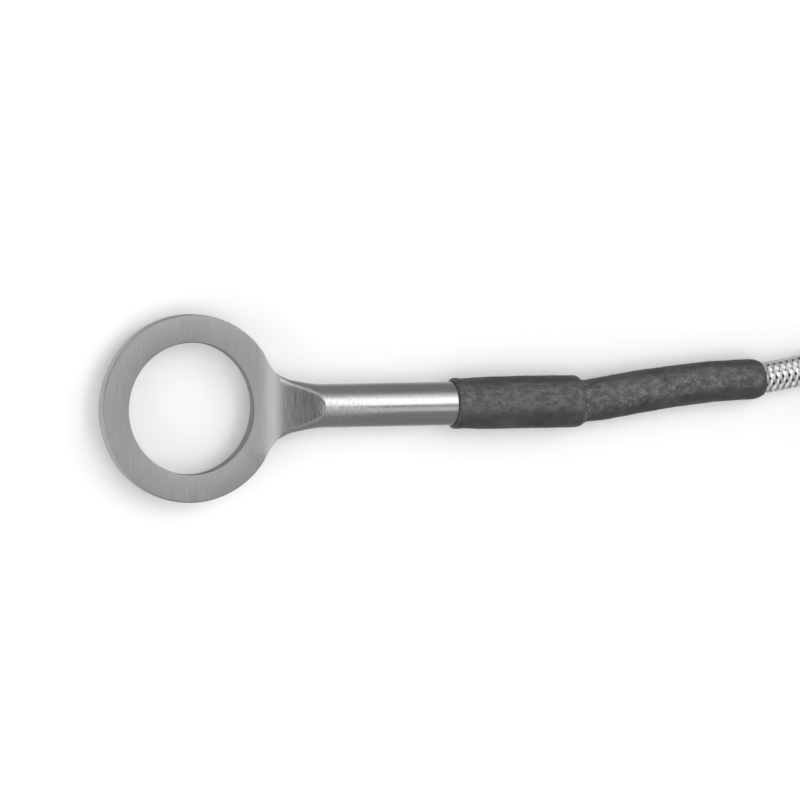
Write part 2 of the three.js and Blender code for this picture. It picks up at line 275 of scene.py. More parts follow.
class Tree:
    """A small hand for building a node tree."""

    def __init__(self, tree, coordinates):
        self.tree = tree
        node = tree.nodes.new("ShaderNodeTexCoord")
        self.place = node.outputs[coordinates]
        self.normal = node.outputs["Normal"]

    def feed(self, socket, value):
        if hasattr(value, "links"):
            self.tree.links.new(value, socket)
        else:
            socket.default_value = value

    def node(self, kind, output, inputs, **properties):
        """The output of a new node with these properties and inputs."""
        node = self.tree.nodes.new(kind)
        for name, value in properties.items():
            setattr(node, name, value)
        for socket, value in inputs.items():
            self.feed(node.inputs[socket], value)
        return node.outputs[output]

    def noise(self, per_mm, detail=4.0, rough=0.55):
        """Noise with so many cells to a millimetre along X, Y and Z."""
        scale = per_mm if isinstance(per_mm, tuple) else (per_mm,) * 3
        scaled = {"Scale": [s / MM for s in scale], "Vector": self.place}
        place = self.node("ShaderNodeMapping", "Vector", scaled)
        pattern = {"Scale": 1.0, "Detail": detail, "Roughness": rough, "Vector": place}
        return self.node("ShaderNodeTexNoise", "Fac", pattern)

    def ramp(self, value, *stops):
        node = self.tree.nodes.new("ShaderNodeValToRGB")
        elements = node.color_ramp.elements
        while len(elements) < len(stops):
            elements.new(0.5)
        for element, (position, colour) in zip(elements, stops):
            element.position = position
            element.color = (*colour, 1) if isinstance(colour, tuple) else grey(colour)
        self.feed(node.inputs["Fac"], value)
        return node.outputs["Color"]

    def span(self, value, low, high, to_low, to_high):
        ends = {"From Min": low, "From Max": high, "To Min": to_low, "To Max": to_high, "Value": value}
        return self.node("ShaderNodeMapRange", "Result", ends, interpolation_type="SMOOTHSTEP")

    def math(self, operation, a, b):
        return self.node("ShaderNodeMath", "Value", {0: a, 1: b}, operation=operation)

    def times(self, a, b):
        return self.math("MULTIPLY", a, b)

    def mix(self, factor, a, b):
        return self.node("ShaderNodeMix", "Result", {"Factor": factor, "A": a, "B": b}, data_type="RGBA")

    def axis(self, name):
        return self.node("ShaderNodeSeparateXYZ", name, {"Vector": self.place})

    def distance(self, centre_mm):
        ends = {0: self.place, 1: [c * MM for c in centre_mm]}
        return self.node("ShaderNodeVectorMath", "Value", ends, operation="DISTANCE")

    def along(self, start, end, low=0, high=1):
        """From low to high between two stations."""
        return self.span(self.axis("X"), (start + RING_X) * MM, (end + RING_X) * MM, low, high)

    def facing(self, way):
        """1 where the surface faces that way, 0 where it is square to it."""
        ways = {0: self.normal, 1: way}
        return self.node("ShaderNodeVectorMath", "Value", ways, operation="DOT_PRODUCT")

    def bump(self, height, depth_mm, under=None):
        inputs = {"Distance": depth_mm * MM, "Strength": 1.0, "Height": height}
        if under:
            inputs["Normal"] = under
        return self.node("ShaderNodeBump", "Normal", inputs)


class Nodes(Tree):
    """A Principled material, coloured by its place on the piece."""

    def __init__(self, name, **sockets):
        self.material = bpy.data.materials.new(name)
        self.material.use_nodes = True
        super().__init__(self.material.node_tree, "Object")
        self.shader = self.tree.nodes["Principled BSDF"]
        for socket, value in sockets.items():
            self.shader.inputs[socket.replace("_", " ")].default_value = value

    def done(self, colour=None, roughness=None, normal=None):
        for socket, value in (("Base Color", colour), ("Roughness", roughness), ("Normal", normal)):
            if value is not None:
                self.feed(self.shader.inputs[socket], value)
        return self.material


def ring_tone_and_painted_walls(n, brush):
    """Brushed faces, a painted reflection that brightens the wall round the ring, and painted shade that
    darkens the wall in its hole.
    """
    tone = n.ramp(brush, (0.28, 0.325), (0.72, 0.41))
    cloud = n.span(n.noise(0.45, detail=3), 0.35, 0.7, 0, 0.5)
    off_axis = n.math("ABSOLUTE", n.math("SUBTRACT", n.axis("Z"), AXIS_Z * MM), 0)
    # Painted light: the walls get a flat tone in place of the brushing, bright outside as a painted
    # reflection of the floor, dark in the hole as painted shade.
    wall = n.span(off_axis, (PLATE_HALF - 0.1) * MM, (PLATE_HALF - 0.01) * MM, 1, 0)
    bore = n.span(n.distance((RING_X, 0, AXIS_Z)), (RING_INNER + 0.2) * MM, (RING_INNER + 0.5) * MM, 1, 0)
    return n.mix(wall, n.mix(cloud, tone, grey(0.335)), n.ramp(bore, (0.0, 0.44), (1.0, 0.17)))


def steel(name, scoop_marks_and_painted_shade=False):
    """One steel for ring, neck and sheath, finished as each stretch of the probe is.

    The ring is ground and brushed across the probe, and its walls carry painted light, brighter outside
    and darker in the hole. The scoop keeps the wheel's marks, under a darker tone that is painted shade.
    The shank is blended by hand, in short crossing scratches that thin out along the bright drawn tube.
    """
    n = Nodes(name, Metallic=1.0)
    ring = n.along(8.5, 11.0, 1, 0)
    scoop = n.times(n.along(9.5, 11.0), n.along(14.2, 15.0, 1, 0))
    shank = n.times(n.along(13.4, 14.8), n.along(16.0, 24.0, 1, 0))
    drawn = n.along(12.6, 15.0)
    brush = n.noise((5.5, 0.25, 5.5), detail=5, rough=0.6)
    wheel = n.noise((6.5, 0.55, 6.5), detail=5, rough=0.65)
    nicks = n.noise((3.2, 7.5, 7.5), detail=4, rough=0.65)
    cross = n.noise((5.0, 1.6, 1.6), detail=4, rough=0.7)
    streaks = n.noise((0.07, 2.8, 2.8), detail=5, rough=0.55)
    turned = n.noise((7.0, 0.4, 0.4), detail=4, rough=0.6)
    shoulder = n.ramp(brush, (0.28, 0.47), (0.72, 0.58))
    bright = n.ramp(streaks, (0.3, 0.50), (0.7, 0.60))
    bright = n.mix(n.times(n.span(nicks, 0.4, 0.62, 0, 0.55), shank), bright, grey(0.72))
    tone = n.mix(n.along(7.4, 9.4), ring_tone_and_painted_walls(n, brush), shoulder)
    tone = n.mix(drawn, tone, bright)
    rough = n.span(brush, 0.3, 0.7, 0.33, 0.42)
    rough = n.math("SUBTRACT", rough, n.times(drawn, n.span(streaks, 0.3, 0.7, 0.12, 0.19)))
    normal = n.bump(n.times(brush, ring), 0.008)
    if scoop_marks_and_painted_shade:
        # Painted shade: the scoop's flats are darkened, over the wheel's marks, where they turn away from
        # the lights.
        tone = n.mix(scoop, tone, n.ramp(wheel, (0.28, 0.25), (0.5, 0.33), (0.72, 0.44)))
        normal = n.bump(n.times(wheel, scoop), 0.018, normal)
    for marks, where, depth in ((nicks, shank, 0.008), (cross, shank, 0.034),
                                (streaks, drawn, 0.008), (turned, drawn, 0.0022)):
        normal = n.bump(n.times(marks, where), depth, normal)
    return n.done(tone, rough, normal)


def sleeve_polymer():
    """Dull dark shrink tubing: mottled, with a painted sheen on the side that faces the lights, dusty along
    its top, with pale specks in its crease.
    """
    n = Nodes("shrink_polymer", Specular_IOR_Level=0.5)
    cloud = n.noise((0.22, 0.4, 0.4), detail=5, rough=0.6)
    mottle = n.noise((1.3, 1.7, 1.7), detail=7, rough=0.72)
    grain = n.noise(5.5, detail=4, rough=0.7)
    fine = n.noise(9.0, detail=2, rough=0.5)
    tone = n.ramp(cloud, (0.38, 0.016), (0.5, 0.030), (0.62, 0.052))
    # Painted light: a pale mottled film on the side that faces up towards the key lights stands in for its
    # lit side and sheen.
    painted_lit_side = n.times(n.span(mottle, 0.40, 0.64, 0.25, 0.9),
                   n.span(n.facing((0, 0.29, 0.957)), 0.70, 0.99, 0.22, 1.0))
    tone = n.mix(painted_lit_side, tone, (0.15, 0.15, 0.152, 1))
    tone = n.mix(n.span(grain, 0.46, 0.62, 0, 0.55), tone, (0.026, 0.026, 0.027, 1))
    narrow = n.along(44.8, 47.0)
    top = n.span(n.axis("Z"), 4.15 * MM, 4.65 * MM, 0, 1)
    dusty = n.times(n.span(mottle, 0.46, 0.58, 0, 1), n.times(narrow, top))
    dust = n.times(n.span(fine, 0.55, 0.64, 0, 0.6), dusty)
    crease = n.times(n.along(44.5, 45.2), n.along(45.3, 46.2, 1, 0))
    flecks = n.times(n.span(grain, 0.55, 0.62, 0, 0.9), crease)
    tone = n.mix(dust, tone, grey(0.36))
    tone = n.mix(flecks, tone, (0.42, 0.42, 0.41, 1))
    rough = n.span(mottle, 0.35, 0.65, 0.36, 0.56)
    normal = n.bump(mottle, 0.16)
    normal = n.bump(grain, 0.05, normal)
    return n.done(tone, rough, normal)


def braid_wire():
    """Bright drawn stainless wire."""
    n = Nodes("braid_wire", Metallic=0.94)
    streak = n.noise(2.4, detail=3)
    tone = n.ramp(streak, (0.3, 0.88), (0.7, 0.98))
    return n.done(tone, n.span(streak, 0.3, 0.7, 0.16, 0.26), n.bump(n.noise(9.0), 0.003))


def woven_core_painted_shade():
    """Glass-fibre jacket under the braid, coloured near black: painted shade that darkens the gaps between
    the strands.
    """
    n = Nodes("glass_fibre_jacket_painted_shade", Roughness=0.85)
    fibres = n.noise((5.0, 5.0, 5.0), detail=4)
    return n.done(n.ramp(fibres, (0.3, (0.018, 0.017, 0.015)), (0.7, (0.05, 0.047, 0.042))),
                  None, n.bump(fibres, 0.02))


def insulation(name, dark, bright):
    """Smooth wire insulation with a faint mottle."""
    n = Nodes(name)
    mottle = n.noise(1.1, detail=4)
    return n.done(n.ramp(mottle, (0.3, dark), (0.7, bright)),
                  n.span(mottle, 0.3, 0.7, 0.38, 0.5), n.bump(n.noise(6.0), 0.006))


def tin_plate():
    n = Nodes("tin_plate", Metallic=1.0)
    bloom = n.noise(0.9, detail=5)
    return n.done(n.ramp(bloom, (0.3, (0.55, 0.55, 0.53)), (0.7, (0.7, 0.7, 0.68))),
                  n.span(bloom, 0.3, 0.7, 0.26, 0.4), n.bump(n.noise((3.0, 8.0, 8.0)), 0.006))


def tie_nylon():
    n = Nodes("natural_nylon", Roughness=0.45, Subsurface_Weight=0.15, Subsurface_Scale=0.001)
    mottle = n.noise(0.8, detail=3)
    return n.done(n.ramp(mottle, (0.3, (0.68, 0.67, 0.62)), (0.7, (0.76, 0.75, 0.71))),
                  None, n.bump(n.noise(5.0), 0.006))


def unglazed(name, dark, bright, grain):
    """Fired or cast mineral, rough to the touch."""
    n = Nodes(name, Roughness=0.85)
    mottle = n.noise(grain, detail=6, rough=0.65)
    return n.done(n.ramp(mottle, (0.3, dark), (0.7, bright)), None, n.bump(mottle, 0.03))


def couple_alloy():
    n = Nodes("couple_alloy", Metallic=1.0)
    oxide = n.noise(2.2, detail=4)
    return n.done(n.ramp(oxide, (0.3, (0.30, 0.28, 0.25)), (0.7, (0.52, 0.50, 0.46))),
                  n.span(oxide, 0.3, 0.7, 0.32, 0.5), n.bump(oxide, 0.004))


RING_STEEL = steel("ground_steel")
# This copy of the steel has painted shade on the scoop's flats.
SCOOP_STEEL_PAINTED_SHADE = steel("scoop_steel_painted_shade", scoop_marks_and_painted_shade=True)
TUBE_STEEL = steel("drawn_steel")
SLEEVE = sleeve_polymer()
WIRE = braid_wire()
# The cable's jacket is coloured near black: painted shade for the gaps in the braid.
CORE_PAINTED_SHADE = woven_core_painted_shade()
RED = insulation("red_insulation", (0.36, 0.035, 0.028), (0.46, 0.055, 0.04))
BLUE = insulation("blue_insulation", (0.035, 0.085, 0.24), (0.055, 0.12, 0.31))
TIN = tin_plate()
NYLON = tie_nylon()
CERAMIC = unglazed("unglazed_ceramic", (0.72, 0.69, 0.62), (0.86, 0.84, 0.79), 1.6)
CEMENT = unglazed("potting_cement", (0.50, 0.47, 0.41), (0.70, 0.67, 0.60), 2.4)
ALLOY = couple_alloy()

# ---- the cable's route

# Listed points: station, sideways, height. The two lists in the hank are only here, the others are
# the same as in the model.
ENTRY_ROUTE = [
    (38, 0, 2.87), (42, 0, 2.87), (45, 0, 2.86), (47.4, 0.2, 2.76), (49.7, 0.52, 2.6),
    (52, 0.86, 2.46), (54.3, 1.16, 2.37), (56.6, 1.42, 2.31), (58.9, 1.66, 2.28),
    (61.2, 1.84, 2.25), (63.5, 1.94, 2.22), (66.2, 2.05, 2.17),
]
RUN_ROUTE = [
    (66.5, 2.08, 2.16), (68.1, 2.3, 2.06), (70.3, 2.66, 1.9), (73, 3.3, 1.77), (76, 4.6, 1.72),
    (78.4, 6.05, 1.72),
]
# From the run under the hank's upper layers to the outer lane of its left loop.
MERGE_ROUTE = [(81.2, 8.0, 1.72), (84.2, 10.3, 1.72), (87.6, 12.6, 1.72), (91.2, 14.1, 1.72)]
# Out of the waist, up onto the hank and along it.
RISE_ROUTE = [
    (120.9, 2.7, 9.5), (123.3, 2.66, 9.82), (125.8, 2.4, 10.52), (128.5, 1.85, 11.42),
    (129.9, 1.5, 11.88),
]
TAIL_ROUTE = [(131.2, 1.2, 12.2), (132.4, 1.05, 12.33), (133.7, 1, 12.4)]
LEAD_ROUTE = [
    (143.3, 0.95, 12.4), (146, 1.1, 12.2), (149.5, 1.7, 11.9), (153, 3.8, 11.5),
    (155, 7.2, 11.3), (154.2, 10.4, 11.4), (152, 12.6, 11.8), (149.3, 13.8, 12.2),
]
TERMINAL_AT = (141.6, 12.9)  # where a barrel starts: station, distance from the hank's middle
TERMINAL_TURN = math.radians(190)
WAIST = (HANK_LEFT + HANK_RIGHT) / 2


def hank_track():
    """The middle of the two lanes, once round, as arcs and straights in cable diameters.

    An arc has its centre, radius, start angle and turn, and 1 or -1 for whether the outer lane's radius
    is larger or smaller. A straight has its start, length and direction instead.
    """
    loop, neck, waist = 3.5, 5.0, 1.0
    lean = math.asin((waist + neck) / (loop + neck))
    reach = (loop + neck) * math.cos(lean)
    half = (HANK_RIGHT - HANK_LEFT) / 2 / CABLE
    straight = 2 * (half - reach)
    pi = math.pi
    top, bottom = waist + neck, -waist - neck
    inner = half - reach
    return [
        ("arc", -half, 0, loop, pi / 2, lean - pi / 2, 1),
        ("arc", -inner, top, neck, pi + lean, pi / 2 - lean, -1),
        ("line", -inner, waist, straight, 1, 0, 1),
        ("arc", inner, top, neck, 1.5 * pi, pi / 2 - lean, -1),
        ("arc", half, 0, loop, pi - lean, 2 * lean - 2 * pi, 1),
        ("arc", inner, bottom, neck, lean, pi / 2 - lean, -1),
        ("line", inner, -waist, straight, -1, 0, 1),
        ("arc", -inner, bottom, neck, pi / 2, pi / 2 - lean, -1),
        ("arc", -half, 0, loop, -lean, lean - 1.5 * pi, 1),
    ]


def stretch_length(stretch):
    kind, _, _, size, _, turn, _ = stretch
    return size if kind == "line" else size * abs(turn)


def on_track(track, place, lane):
    """The point at a place on the track, in a lane so many diameters outward of its middle."""
    for stretch in track:
        length = stretch_length(stretch)
        if place <= length:
            break
        place -= length
    kind, x, y, size, start, turn, outward = stretch
    if kind == "line":
        return x + start * place, y + lane * math.copysign(1, y)
    angle = start + turn * place / length
    radius = size + outward * lane
    return x + radius * math.cos(angle), y + radius * math.sin(angle)


def hank_points():
    """Five times round: outer lane, inner lane, up a layer, out, up a layer and in again.

    Each change ends where the one before it began, a turn earlier, so no two turns share a place.
    """
    track = hank_track()
    once = sum(map(stretch_length, track))
    spacing = 6.0  # diameters from one change to the next
    takes = {"in": 10.0, "out": 10.0, "up": 6.0}  # diameters that a change goes on for
    changes = [(turn * once + 38.5 - spacing * turn, kind)
               for turn, kind in enumerate(("in", "up", "out", "up", "in"))]
    last = 5 * once + sum(map(stretch_length, track[:2])) + track[2][3] / 2
    points = []
    for place in np.linspace(0, last, int(last * 1.2)):
        lane, layer = 0.5, 0.0
        for start, kind in changes:
            done = smooth_step(start, start + takes[kind], place)
            lane += {"in": -done, "out": done}.get(kind, 0)
            layer += done if kind == "up" else 0
        x, y = on_track(track, place % once, lane)
        x_mm = WAIST + x * CABLE
        lift = TIE_THICKNESS * math.exp(-((x_mm - WAIST) / 9) ** 2)
        points.append((x_mm, HANK_Y + y * CABLE, (0.5 + layer) * CABLE + 0.02 + lift))
    return points


BRAID_LAY = 6.2  # one turn of a strand round the cable
BRAID_SIDES = 8  # strands each way
BRAID_DEPTH = 0.15  # how far the strands' middle lies under the cable's surface
BRAID_WAVE = 0.12  # how far a strand rises and sinks from there
BRAID_PHASE = 3.5  # turns the herringbone's columns round the cable, in crossings
WIRE_PITCH = 0.09  # from wire to wire in a fine strand
WIRE_ACROSS, WIRE_OUT = 0.050, 0.026
STEP = BRAID_LAY / 20
FIRST_POINTS = 200  # how many points the cable has before it turns back, at least
FREE_START = 64.5  # station where the free cable's pieces start, under the sleeve's end
FINE_END = 79.5  # station where the finely made strands end, past the photograph's edge

entry_line = catmull(ENTRY_ROUTE[:-1] + RUN_ROUTE[:1])
free_line = catmull(ENTRY_ROUTE[-2:-1] + RUN_ROUTE + MERGE_ROUTE + hank_points()
                    + RISE_ROUTE + TAIL_ROUTE, per_span=8)
whole_line = np.vstack([entry_line[entry_line[:, 0] < free_line[0, 0] - 0.05], free_line])
LINE, RUN = evenly(whole_line, STEP)
FRAMES = line_frames(LINE)


def wire_section(wires):
    """Points round one wire of a fine strand, or round a plain strand: across, and out."""
    if wires == 1:
        return np.array([(0, 0.07), (-0.31, -0.05), (0.31, -0.05)])
    angle = angles_round(6)
    return np.stack([WIRE_ACROSS * np.cos(angle), WIRE_OUT * np.sin(angle)], axis=1)


def wire_rows(cable, angle, radius, section):
    """Sections along one wire that winds round the cable."""
    centre, side, up = cable
    out = np.cos(angle)[:, None] * side + np.sin(angle)[:, None] * up
    middle = centre + radius[:, None] * out
    across = np.cross(unit(np.gradient(middle, axis=0)), out)
    return (middle[:, None] + section[None, :, :1] * across[:, None]
            + section[None, :, 1:] * out[:, None])


def strands(name, start, end, wires, samples):
    """The braid between two places on the cable: each strand passes over two and under two."""
    places = np.linspace(start, end, max(8, int((end - start) / BRAID_LAY * samples)))
    cable = [points_at(places, RUN, values) for values in (LINE, *FRAMES[1:])]
    crossing = 2 * BRAID_SIDES * places / BRAID_LAY
    section = wire_section(wires)
    slant = math.hypot(1, math.pi * CABLE / BRAID_LAY)  # a strand's cut round the cable is so much wider
    shifts = (np.arange(wires) - (wires - 1) / 2) * WIRE_PITCH * slant / (CABLE / 2)
    points, faces = [], []
    for hand in (1, -1):
        for number in range(BRAID_SIDES):
            phase = crossing + 2 * number if hand > 0 else 2 * number - crossing
            wave = np.clip(1.4 * np.cos(np.pi / 2 * (phase - BRAID_PHASE)) * hand, -1, 1)
            radius = CABLE / 2 - BRAID_DEPTH + BRAID_WAVE * wave
            angle = hand * 2 * np.pi * places / BRAID_LAY + 2 * np.pi * number / BRAID_SIDES
            for shift in shifts:
                rows = wire_rows(cable, angle + shift, radius, section)
                first = len(points) * rows.shape[0] * rows.shape[1]
                faces += rod_faces(*rows.shape[:2], first=first)
                points.append(rows.reshape(-1, 3))
    return mesh_piece(name, np.vstack(points), faces, WIRE)


def place_at_station(station):
    """Distance along the cable to a station on its first stretch, where it doesn't turn back."""
    return float(np.interp(station, LINE[:FIRST_POINTS, 0], RUN[:FIRST_POINTS]))


def make_cable():
    """The jacketed core and the braid on it, also where both run hidden inside the sleeve."""
    free_start = place_at_station(FREE_START)
    fine_end = place_at_station(FINE_END)
    free = RUN >= free_start
    core_line = LINE[free][::3]
    core = loft("cable_core", tube_rows(core_line, CORE_RADIUS, 16), CORE_PAINTED_SHADE)
    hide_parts("cable_run", "cable_hank", "cable_tail")
    braids = [strands("braid_seen", free_start, fine_end, 5, 48)]
    ends = np.linspace(fine_end, RUN[-1], 5)
    braids += [strands(f"braid_hank_{i + 1}", a, b, 1, 20)
               for i, (a, b) in enumerate(zip(ends, ends[1:]))]
    entry = strands("braid_entry", 0.0, free_start, 1, 20)
    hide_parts("cable_entry")
    hidden_line = LINE[RUN < free_start - 0.2][::3]
    entry_core = loft("cable_core_entry", tube_rows(hidden_line, CORE_RADIUS, 16), CORE_PAINTED_SHADE)
    return core, core_line, braids


core, core_line, braids = make_cable()


def make_lead(sign, side, material):
    """One insulated wire, from the tail sleeve back over the hank to its terminal."""
    back = TERMINAL_TURN
    straight = [(TERMINAL_AT[0] - d * math.cos(back), TERMINAL_AT[1] - d * math.sin(back), TOP_HEIGHT)
                for d in (4.6, 2.6, 0.3)]
    route = [(x, HANK_Y + side * y, z) for x, y, z in LEAD_ROUTE + straight]
    line, _ = evenly(catmull(route), 0.35)
    piece = loft(f"lead_wire_{sign}", tube_rows(line, LEAD / 2, 20), material)
    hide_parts(f"lead_{sign}")
    return piece, line


POLES = (("positive", 1, RED), ("negative", -1, BLUE))
leads = {sign: make_lead(sign, side, material) for sign, side, material in POLES}

# ---- ring, neck and shank

# Neck: station, and half width at the middle of its thickness.
NECK = [
    (NECK_START, 5.93), (8.96, 4.7), (9.4, 4.08), (10.0, 3.55), (10.7, 3.24), (11.4, 2.95), (12.2, 2.77),
    (12.9, 2.64), (13.9, 2.48), (14.5, 2.42), (14.9, 2.4), (15.8, 2.38), (SHANK_END, 2.38),
]
SCOOP_RADIUS = 14.0
SCOOP_RUN = 8  # how far along the shank the scoop's curve is followed, well past its end
CREST = 0.35  # least half width of the strip over the crown
FLATS = 13  # points across a flat
SIDES = 25  # points down a rounded side


def neck_half_thickness(station):
    run = min(station - NECK_START, SCOOP_RUN)
    rise = SCOOP_RADIUS - math.sqrt(SCOOP_RADIUS**2 - run**2)
    return min(TUBE_RADIUS, PLATE_HALF + rise)


def plate_side(half_width):
    """Distances outward and heights down a plate's edge: a rounded corner, the wall, a corner."""
    corner = np.radians(np.linspace(90, 0, 9))
    wall = PLATE_HALF - EDGE_ROUND
    out = half_width - EDGE_ROUND + EDGE_ROUND * np.cos(corner)
    up = wall + EDGE_ROUND * np.sin(corner)
    level = np.linspace(wall, -wall, SIDES - 16)[1:-1]
    return (np.concatenate([out, np.full(len(level), half_width), out[::-1]]),
            np.concatenate([up, level, -up[::-1]]))


def neck_row(station, half_width):
    """One section: the shank's own, widened, with a ground flat cut into it above and below."""
    half = neck_half_thickness(station)
    blend = smooth_step(8.9, 11.2, station)
    flat = half_width * math.sqrt(max(0.0, 1 - (half / TUBE_RADIUS) ** 2))
    relief = 0.24 * smooth_step(9.4, 11.2, station) * min(1.0, flat)  # softened crease
    inside = max(flat - relief, CREST)
    steep = min(math.asin(min(1, half / TUBE_RADIUS)) - relief / half_width,
                math.acos((inside + 0.05) / half_width))
    t = np.linspace(steep, -steep, SIDES)
    plate_out, plate_up = plate_side(half_width)
    out = (1 - blend) * plate_out + blend * half_width * np.cos(t)
    up = (1 - blend) * plate_up + blend * TUBE_RADIUS * np.sin(t)
    edge = (1 - blend) * (half_width - EDGE_ROUND) + blend * inside
    across = np.linspace(-edge, edge, FLATS)
    uncut = TUBE_RADIUS * np.sqrt(np.maximum(0, 1 - (across / half_width) ** 2))
    height = np.where(blend < 1, half, np.minimum(half, uncut))
    right = np.stack([out, up], axis=1)
    left = np.stack([-out[::-1], up[::-1]], axis=1)
    top = np.stack([across, height], axis=1)
    bottom = np.stack([across[::-1], -height[::-1]], axis=1)
    outline = np.vstack([top, right, bottom, left])
    return np.column_stack([np.full(len(outline), station), outline])


def rim_boundary():
    """The plate's outline from the neck round the ring to the neck again, with outward ways."""
    start_y = NECK[0][1]
    leave = 7.45  # station where the outline leaves the circle
    leave_angle = math.acos(leave / RING_OUTER)
    shoulder = catmull([(NECK_START, start_y, 0), (8.0, 6.36, 0),
                        (leave, RING_OUTER * math.sin(leave_angle), 0)], per_span=10)[:, :2]
    angles = np.linspace(leave_angle, 2 * np.pi - leave_angle, 300)[1:-1]
    circle = RING_OUTER * np.stack([np.cos(angles), np.sin(angles)], axis=1)
    boundary = np.vstack([shoulder, circle, shoulder[::-1] * (1, -1)])
    way = np.gradient(boundary, axis=0)
    outward = unit(np.stack([way[:, 1], -way[:, 0]], axis=1))
    turn = smooth_step(leave, NECK_START, boundary[:, 0])[:, None]
    sideways = np.stack([np.zeros(len(boundary)), np.sign(boundary[:, 1])], axis=1)
    return boundary, unit(outward * (1 - turn) + sideways * turn)


def bore_edge(angle):
    """The inner wall at an angle, from its lower to its upper edge."""
    out, up = plate_side(EDGE_ROUND)
    radius = RING_INNER + EDGE_ROUND - out[::-1]
    return np.stack([radius * math.cos(angle), radius * math.sin(angle), up[::-1]], axis=1)


def is_flat(column):
    """Whether a face beside this column of the neck's points is part of a ground flat."""
    return column < FLATS - 1 or FLATS + SIDES <= column < 2 * FLATS + SIDES - 1


def neck_stations():
    """Where the neck is cut into sections, closest where the scoop runs out."""
    return np.concatenate([np.linspace(NECK_START, 11.8, 56), np.linspace(11.8, 15.6, 60)[1:],
                           np.linspace(15.6, SHANK_END, 14)[1:]])


def neck_and_spigot(stations):
    """The neck's sections, then the spigot that goes into the tube and the bore in it."""
    neck = np.array([neck_row(x, width) for x, width in zip(stations, smooth_table(NECK, stations))])
    columns = neck.shape[1]
    spigot = turned_rows([(SHANK_END, SPIGOT_RADIUS), (SPIGOT_END, SPIGOT_RADIUS),
                          (SPIGOT_END, SPIGOT_BORE), (BORE_BOTTOM, SPIGOT_BORE)], columns)
    # The spigot's rows start at the middle of the top, as the neck's do.
    spigot = np.roll(spigot[:, ::-1], -(columns // 4) * 3 + FLATS // 2, axis=1)
    return np.concatenate([neck, spigot])


def ring_rows(first_flat):
    """The ring's sections, from the neck's one side round to its other: outer edge, then bore."""
    boundary, outward = rim_boundary()
    end_angle = math.atan2(first_flat[-1][1], NECK_START)
    inner_angles = np.linspace(end_angle, 2 * np.pi - end_angle, len(boundary))
    side_out, side_up = plate_side(0.0)
    rows = []
    for (x, y), way, angle in zip(boundary, outward, inner_angles):
        side = np.column_stack([x + side_out * way[0], y + side_out * way[1], side_up])
        rows.append(np.vstack([side, bore_edge(angle)]))
    return rows


def bridge_rows(first_row):
    """The stretch of the bore that faces the neck, joined to the neck's first section."""
    above_all = first_row[:FLATS]
    below_all = first_row[FLATS + SIDES:2 * FLATS + SIDES][::-1]
    return [np.vstack([below, bore_edge(math.atan2(above[1], NECK_START)), above])
            for above, below in zip(above_all, below_all)]


def make_lug():
    stations = neck_stations()
    neck = neck_and_spigot(stations)
    columns = neck.shape[1]
    faces = grid_faces(len(neck), columns)
    faces.append([(len(neck) - 1) * columns + i for i in range(columns)])
    rim = ring_rows(neck[0][:FLATS])
    rim_first = len(neck) * columns
    faces += grid_faces(len(rim), 2 * SIDES, first=rim_first)
    bridge = bridge_rows(neck[0])
    bridge_first = rim_first + len(rim) * 2 * SIDES
    faces += grid_faces(len(bridge), SIDES + 2, first=bridge_first, wrap_columns=False)
    points = np.vstack([neck.reshape(-1, 3), *rim, *bridge]) + (0, 0, AXIS_Z)
    # The scoop's flats get the copy of the steel with painted shade.
    scoop_marks_and_painted_shade = (SCOOP_STEEL_PAINTED_SHADE, lambda face: face < len(stations) * columns and is_flat(face % columns))
    lug = mesh_piece("ring_and_neck", points, faces, RING_STEEL, sharp=55, merge=0.002, second=scoop_marks_and_painted_shade)
    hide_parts("ring_lug")


make_lug()


def make_tube():
    round_end = [(TUBE_END - 0.15, TUBE_RADIUS), (TUBE_END - 0.05, TUBE_RADIUS - 0.05),
                 (TUBE_END, TUBE_RADIUS - 0.16)]
    outside = [(x, TUBE_RADIUS) for x in np.linspace(SHANK_END, TUBE_END - 0.5, 40)]
    profile = [(SHANK_END, TUBE_BORE), *outside, *round_end, (TUBE_END, TUBE_BORE)]
    tube = loft("sheath", turned_rows(profile, 128, (0, AXIS_Z)), TUBE_STEEL, closed=True, sharp=35)
    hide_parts("sheath_tube")


make_tube()

# ---- shrink sleeve

SLEEVE_OUTSIDE = [
    (SLEEVE_START, 2.60), (30.42, 2.76), (30.75, 2.80), (31.4, 2.76), (33.5, 2.83), (36, 2.86),
    (39, 2.86), (42, 2.86), (44.2, 2.84), (44.6, 2.79), (44.9, 2.66), (45.15, 2.44), (45.4, 2.31),
    (45.8, 2.27), (46.6, 2.31), (47.8, 2.34), (52, 2.34), (56, 2.27), (60, 2.25), (63, 2.21),
    (64.9, 2.21), (65.4, 2.19), (65.8, 2.12), (66.2, 1.98), (66.45, 1.85), (SLEEVE_END, 1.76),
]
SLEEVE_INSIDE = [
    (SLEEVE_END - 0.06, 1.74), (47, 1.74), (SLEEVE_STEP, 1.8), (44.5, 2.41), (SLEEVE_START + 0.04, 2.41),
]
SLEEVE_SIDES = 112


def sleeve_lumps(station, angle, radius):
    """How far the sleeve stands out or in: long soft lumps, and a pucker at the tube's end."""
    spot = Vector((station * 0.42, radius * math.cos(angle) * 0.5, radius * math.sin(angle) * 0.5))
    lumps = 0.04 * noise.noise(spot) + 0.022 * noise.noise(spot * 3.3) + 0.012 * noise.noise(spot * 7)
    pucker = math.exp(-((station - SLEEVE_STEP) / 0.7) ** 2)
    folds = Vector((math.cos(angle) * 2.6, math.sin(angle) * 2.6, station * 0.9))
    return lumps + pucker * 0.16 * noise.noise(folds)


def sleeve_stations():
    """Where the sleeve is cut into sections, closest at its two ends."""
    near = [SLEEVE_START + 0.05 * i for i in range(14)]
    body = list(np.linspace(31.0, 64.9, 300))
    end = [64.9 + 0.1 * i for i in range(1, 17)]
    return np.array(near + body + end)


